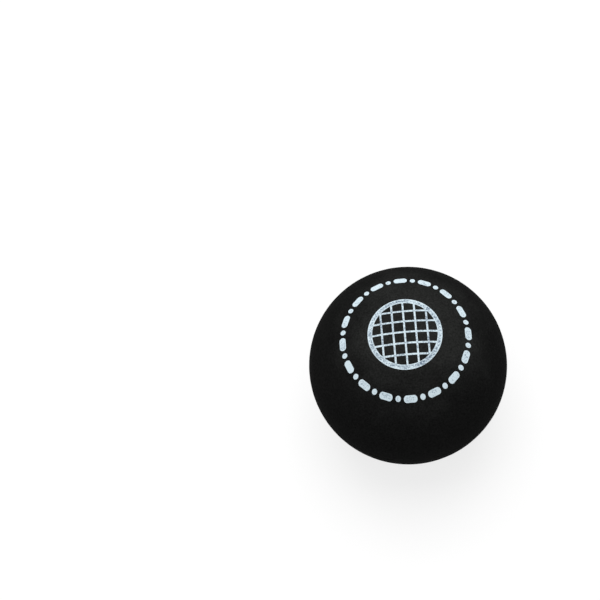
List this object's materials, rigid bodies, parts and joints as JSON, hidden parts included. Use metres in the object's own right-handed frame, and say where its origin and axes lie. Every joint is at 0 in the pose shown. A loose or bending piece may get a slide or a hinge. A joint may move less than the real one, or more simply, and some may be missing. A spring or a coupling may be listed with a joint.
{
  "type": "squash ball",
  "caption": "Hollow matte black rubber squash ball of cemented half-shells, with a pale printed roundel on one side and a yellow speed dot on the other.",
  "frame": {"origin": "the ball's centre", "axes": "+Z through the middle of the printed roundel, normal to the seam plane, which is XY; +Y towards the side with the speed dot, which lies below the seam"},
  "size_m": [0.04, 0.04, 0.0401],
  "materials": {
    "rubber": "matte",
    "cement": "satin",
    "pale_print": "matte",
    "dot_print": "matte"
  },
  "bodies": {
    "root": {"upper_half_shell": "rubber", "lower_half_shell": "rubber", "seam_cement": "cement", "border_print": "pale_print", "badge_print": "pale_print", "speed_dot": "dot_print"}
  },
  "joints": []
}
